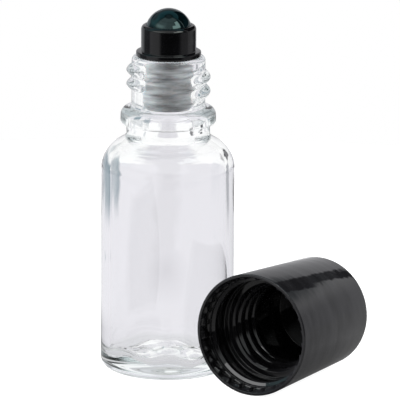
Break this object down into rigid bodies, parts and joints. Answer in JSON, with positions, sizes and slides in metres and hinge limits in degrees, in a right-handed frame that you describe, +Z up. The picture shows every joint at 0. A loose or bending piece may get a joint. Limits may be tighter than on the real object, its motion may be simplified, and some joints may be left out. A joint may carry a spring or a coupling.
{
  "type": "roll on bottle",
  "caption": "Empty clear glass roll on bottle with a ball applicator in its neck and its black screw cap lying beside it.",
  "frame": {"origin": "centre of the flat ring that the bottle stands on", "axes": "+Z up along the axis of the bottle, +Y along the lying cap from its mouth to its closed end, +X from the bottle to the cap"},
  "size_m": [0.0539, 0.034, 0.0777],
  "materials": {
    "clear_glass": "clear moulded glass",
    "natural_plastic": "natural translucent plastic",
    "black_plastic": "glossy black moulded plastic",
    "ball_glass": "polished glass"
  },
  "bodies": {
    "bottle": {"glass_bottle": "clear_glass", "neck_plug": "natural_plastic", "ball_housing": "black_plastic"},
    "ball": {"roller_ball": "ball_glass"},
    "cap": {"cap_shell": "black_plastic", "cap_insert": "black_plastic"}
  },
  "joints": [
    {"name": "ball_roll", "type": "hinge", "parent": "bottle", "child": "ball", "pos_m": [0, 0, 0.0727], "axis": [1, 0, 0], "continuous": true},
    {"name": "cap_lift", "type": "slide", "parent": "bottle", "child": "cap", "axis": [0, 0, 1], "range_m": [0, 0.08]}
  ]
}
